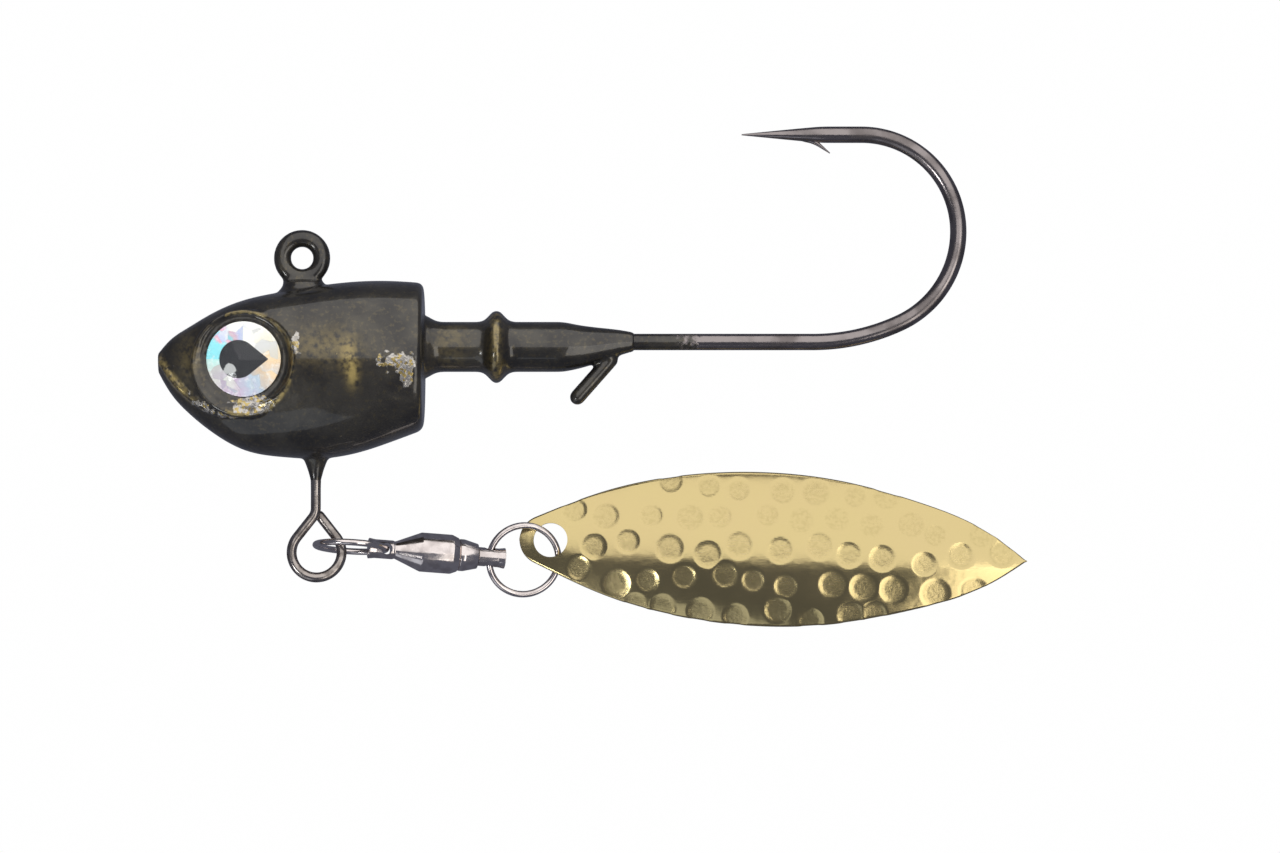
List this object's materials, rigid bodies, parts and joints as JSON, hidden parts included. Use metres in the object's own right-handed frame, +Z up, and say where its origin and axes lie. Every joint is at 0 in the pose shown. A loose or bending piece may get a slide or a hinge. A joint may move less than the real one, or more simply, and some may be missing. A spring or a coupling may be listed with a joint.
{
  "type": "underspin spinner jig",
  "caption": "Lead fish-head jig with moulded eyes, a barbed bait keeper and a jig hook; a short wire under the head carries a ball-bearing swivel and a hammered willow blade.",
  "frame": {"origin": "under the middle of the bounding box, on the surface that the lure lies on", "axes": "+X runs back from the nose to the hook's bend, +Y points to the back of the head where the line tie stands, +Z points up from the cheek that it lies on"},
  "size_m": [0.0689, 0.0398, 0.0105],
  "materials": {
    "painted_lead": "black olive pearl paint with gold flake under clear coat",
    "black_nickel": "polished black nickel",
    "nickel": "bright nickel",
    "bearing_steel": "ground",
    "gold_blade": "hammered, gold plated and polished",
    "eye_foil": "holographic foil",
    "eye_print": "printed black",
    "eye_resin": "clear domed resin"
  },
  "bodies": {
    "lure": {"lead_head": "painted_lead", "hook": "black_nickel", "hanger_wire": "nickel", "eye_foil_left": "eye_foil", "eye_foil_right": "eye_foil", "eye_pupil_left": "eye_print", "eye_pupil_right": "eye_print", "eye_dome_left": "eye_resin", "eye_dome_right": "eye_resin"},
    "front_ring": {"front_ring": "nickel"},
    "swivel": {"swivel_barrel": "nickel", "swivel_end_cap": "nickel", "race_washer": "bearing_steel"},
    "balls": {"bearing_balls": "bearing_steel"},
    "spindle": {"swivel_spindle": "nickel"},
    "rear_ring": {"rear_ring": "nickel"},
    "blade": {"blade": "gold_blade"}
  },
  "joints": [
    {"name": "front_ring_slide", "type": "hinge", "parent": "lure", "child": "front_ring", "pos_m": [-0.02191, -0.01379, 0.00526], "axis": [0, 0, 1], "range_deg": [-120, 30]},
    {"name": "swivel_swing", "type": "hinge", "parent": "front_ring", "child": "swivel", "pos_m": [-0.01928, -0.01336, 0.00351], "axis": [0.0503, 0.9868, -0.1537], "range_deg": [-75, 75]},
    {"name": "spindle_spin", "type": "hinge", "parent": "swivel", "child": "spindle", "pos_m": [-0.01928, -0.01336, 0.00351], "axis": [0.9794, -0.0788, -0.1857], "continuous": true},
    {"name": "ball_roll", "type": "hinge", "parent": "swivel", "child": "balls", "pos_m": [-0.01928, -0.01336, 0.00351], "axis": [0.9794, -0.0788, -0.1857], "continuous": true},
    {"name": "rear_ring_swing", "type": "hinge", "parent": "spindle", "child": "rear_ring", "pos_m": [-0.00836, -0.01424, 0.00144], "axis": [0.1067, 0.9836, 0.1452], "range_deg": [-95, 95]},
    {"name": "blade_swing", "type": "hinge", "parent": "rear_ring", "child": "blade", "pos_m": [-0.00563, -0.01446, 0.00092], "axis": [0.1712, -0.1621, 0.9718], "range_deg": [-80, 20]}
  ],
  "couplings": [
    {"joint": "ball_roll", "follows": "spindle_spin", "ratio": 0.5}
  ]
}
